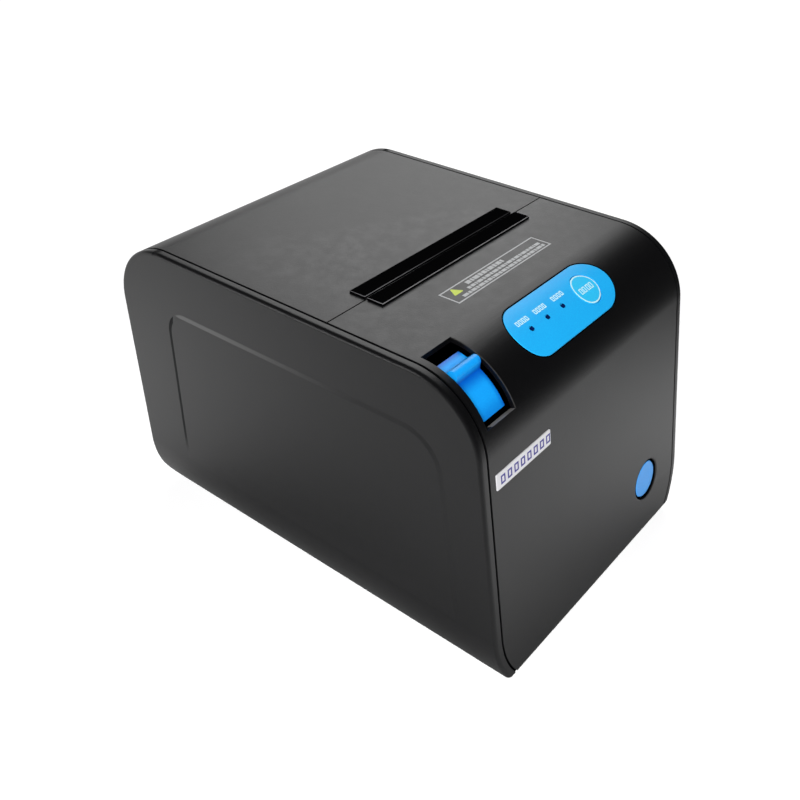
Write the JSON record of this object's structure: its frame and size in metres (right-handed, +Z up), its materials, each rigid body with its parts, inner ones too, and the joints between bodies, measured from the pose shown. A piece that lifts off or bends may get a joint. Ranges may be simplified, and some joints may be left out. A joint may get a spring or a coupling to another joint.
{
  "type": "receipt printer",
  "caption": "Desktop receipt printer with rounded side panels, a hinged lid over a paper compartment, an exit slot across the top, an open lever, a control panel and a front power button",
  "frame": {"origin": "on the resting surface, under the middle of the case in width and depth", "axes": "X across the width to the right as seen from the front, Y from the front to the rear, Z up"},
  "size_m": [0.1458, 0.2, 0.1312],
  "materials": {
    "case": "fine matt black moulded plastic",
    "frame_plastic": "matt black moulded plastic",
    "gloss_black": "glossy black plastic",
    "panel_blue": "satin bright blue plastic",
    "button_blue": "satin light blue plastic",
    "lever_blue": "satin blue plastic",
    "lens": "dark blue unlit lens",
    "badge": "satin white blank plate",
    "circuit_board": "green solder mask",
    "steel": "ground steel",
    "plated": "plated sheet steel",
    "aluminium": "extruded aluminium",
    "ceramic": "glazed ceramic strip",
    "motor": "grey plated motor can",
    "brass": "machined brass",
    "white_plastic": "natural white plastic",
    "rubber": "dark grey rubber"
  },
  "bodies": {
    "base": {"left_panel": "case", "right_panel": "case", "front_cover": "case", "rear_panel": "case", "chassis": "frame_plastic", "slot_bezel_front": "gloss_black", "control_panel": "panel_blue", "status_lenses": "lens", "panel_board": "circuit_board", "panel_board_parts": "gloss_black", "power_switch": "frame_plastic", "badge_plate": "badge", "paper_bin": "frame_plastic", "mech_frame": "plated", "head_sink": "aluminium", "head_element": "ceramic", "head_pivot": "steel", "head_springs": "steel", "feed_motor": "motor", "idler_stud": "steel", "cutter_base": "plated", "cutter_motor": "motor", "hinge_pins": "steel", "main_board": "circuit_board", "board_parts": "gloss_black", "board_nuts": "steel", "power_jack": "gloss_black", "drawer_jack": "white_plastic", "lan_jack": "plated", "usb_jack": "plated", "serial_jack": "plated", "rubber_feet": "rubber", "case_screws": "steel", "settings_hatch": "case"},
    "lid": {"lid_cover": "case", "slot_bezel_rear": "gloss_black", "fixed_blade": "steel", "lid_frame": "frame_plastic", "platen_bushes": "white_plastic"},
    "platen": {"platen_roller": "rubber", "platen_shaft": "steel", "platen_gear": "white_plastic"},
    "idler": {"idler_gear": "white_plastic"},
    "pinion": {"motor_pinion": "brass"},
    "lever": {"open_lever": "lever_blue", "latch_shaft": "steel", "latch_arms": "steel", "lever_spring": "steel"},
    "key": {"feed_key": "panel_blue"},
    "button": {"power_button": "button_blue"},
    "blade": {"moving_blade": "steel"},
    "cutter_drive": {"cutter_pinion": "brass"}
  },
  "joints": [
    {"name": "lid_hinge", "type": "hinge", "parent": "base", "child": "lid", "pos_m": [0, 0.0925, 0.104], "axis": [-1, 0, 0], "range_deg": [0, 85]},
    {"name": "platen_spin", "type": "hinge", "parent": "lid", "child": "platen", "pos_m": [0, -0.00945, 0.102], "axis": [1, 0, 0], "continuous": true},
    {"name": "idler_spin", "type": "hinge", "parent": "base", "child": "idler", "pos_m": [0.052, -0.00945, 0.0796], "axis": [1, 0, 0], "continuous": true},
    {"name": "pinion_spin", "type": "hinge", "parent": "base", "child": "pinion", "pos_m": [0.052, -0.02858, 0.07793], "axis": [1, 0, 0], "continuous": true},
    {"name": "lever_swing", "type": "hinge", "parent": "base", "child": "lever", "pos_m": [0, -0.0547, 0.0992], "axis": [1, 0, 0], "range_deg": [0, 20], "stiffness_Nm_per_rad": 0.15, "springref_deg": -34.38},
    {"name": "feed_key_press", "type": "slide", "parent": "base", "child": "key", "axis": [0, 0.4822, -0.876], "range_m": [0, 0.0007], "stiffness_N_per_m": 300, "springref_m": -0.0008},
    {"name": "power_press", "type": "slide", "parent": "base", "child": "button", "axis": [0, 0.9894, -0.1455], "range_m": [0, 0.002], "stiffness_N_per_m": 200, "springref_m": -0.001},
    {"name": "blade_stroke", "type": "slide", "parent": "base", "child": "blade", "axis": [0, 1, 0], "range_m": [0, 0.009]},
    {"name": "cutter_spin", "type": "hinge", "parent": "base", "child": "cutter_drive", "pos_m": [0.0266, -0.0418, 0.11], "axis": [0, 0, -1], "range_deg": [0, 107.5]}
  ],
  "couplings": [
    {"joint": "idler_spin", "follows": "platen_spin", "ratio": -0.55556},
    {"joint": "pinion_spin", "follows": "platen_spin", "ratio": 1.6667},
    {"joint": "cutter_spin", "follows": "blade_stroke", "rad_per_m": 208.33}
  ]
}
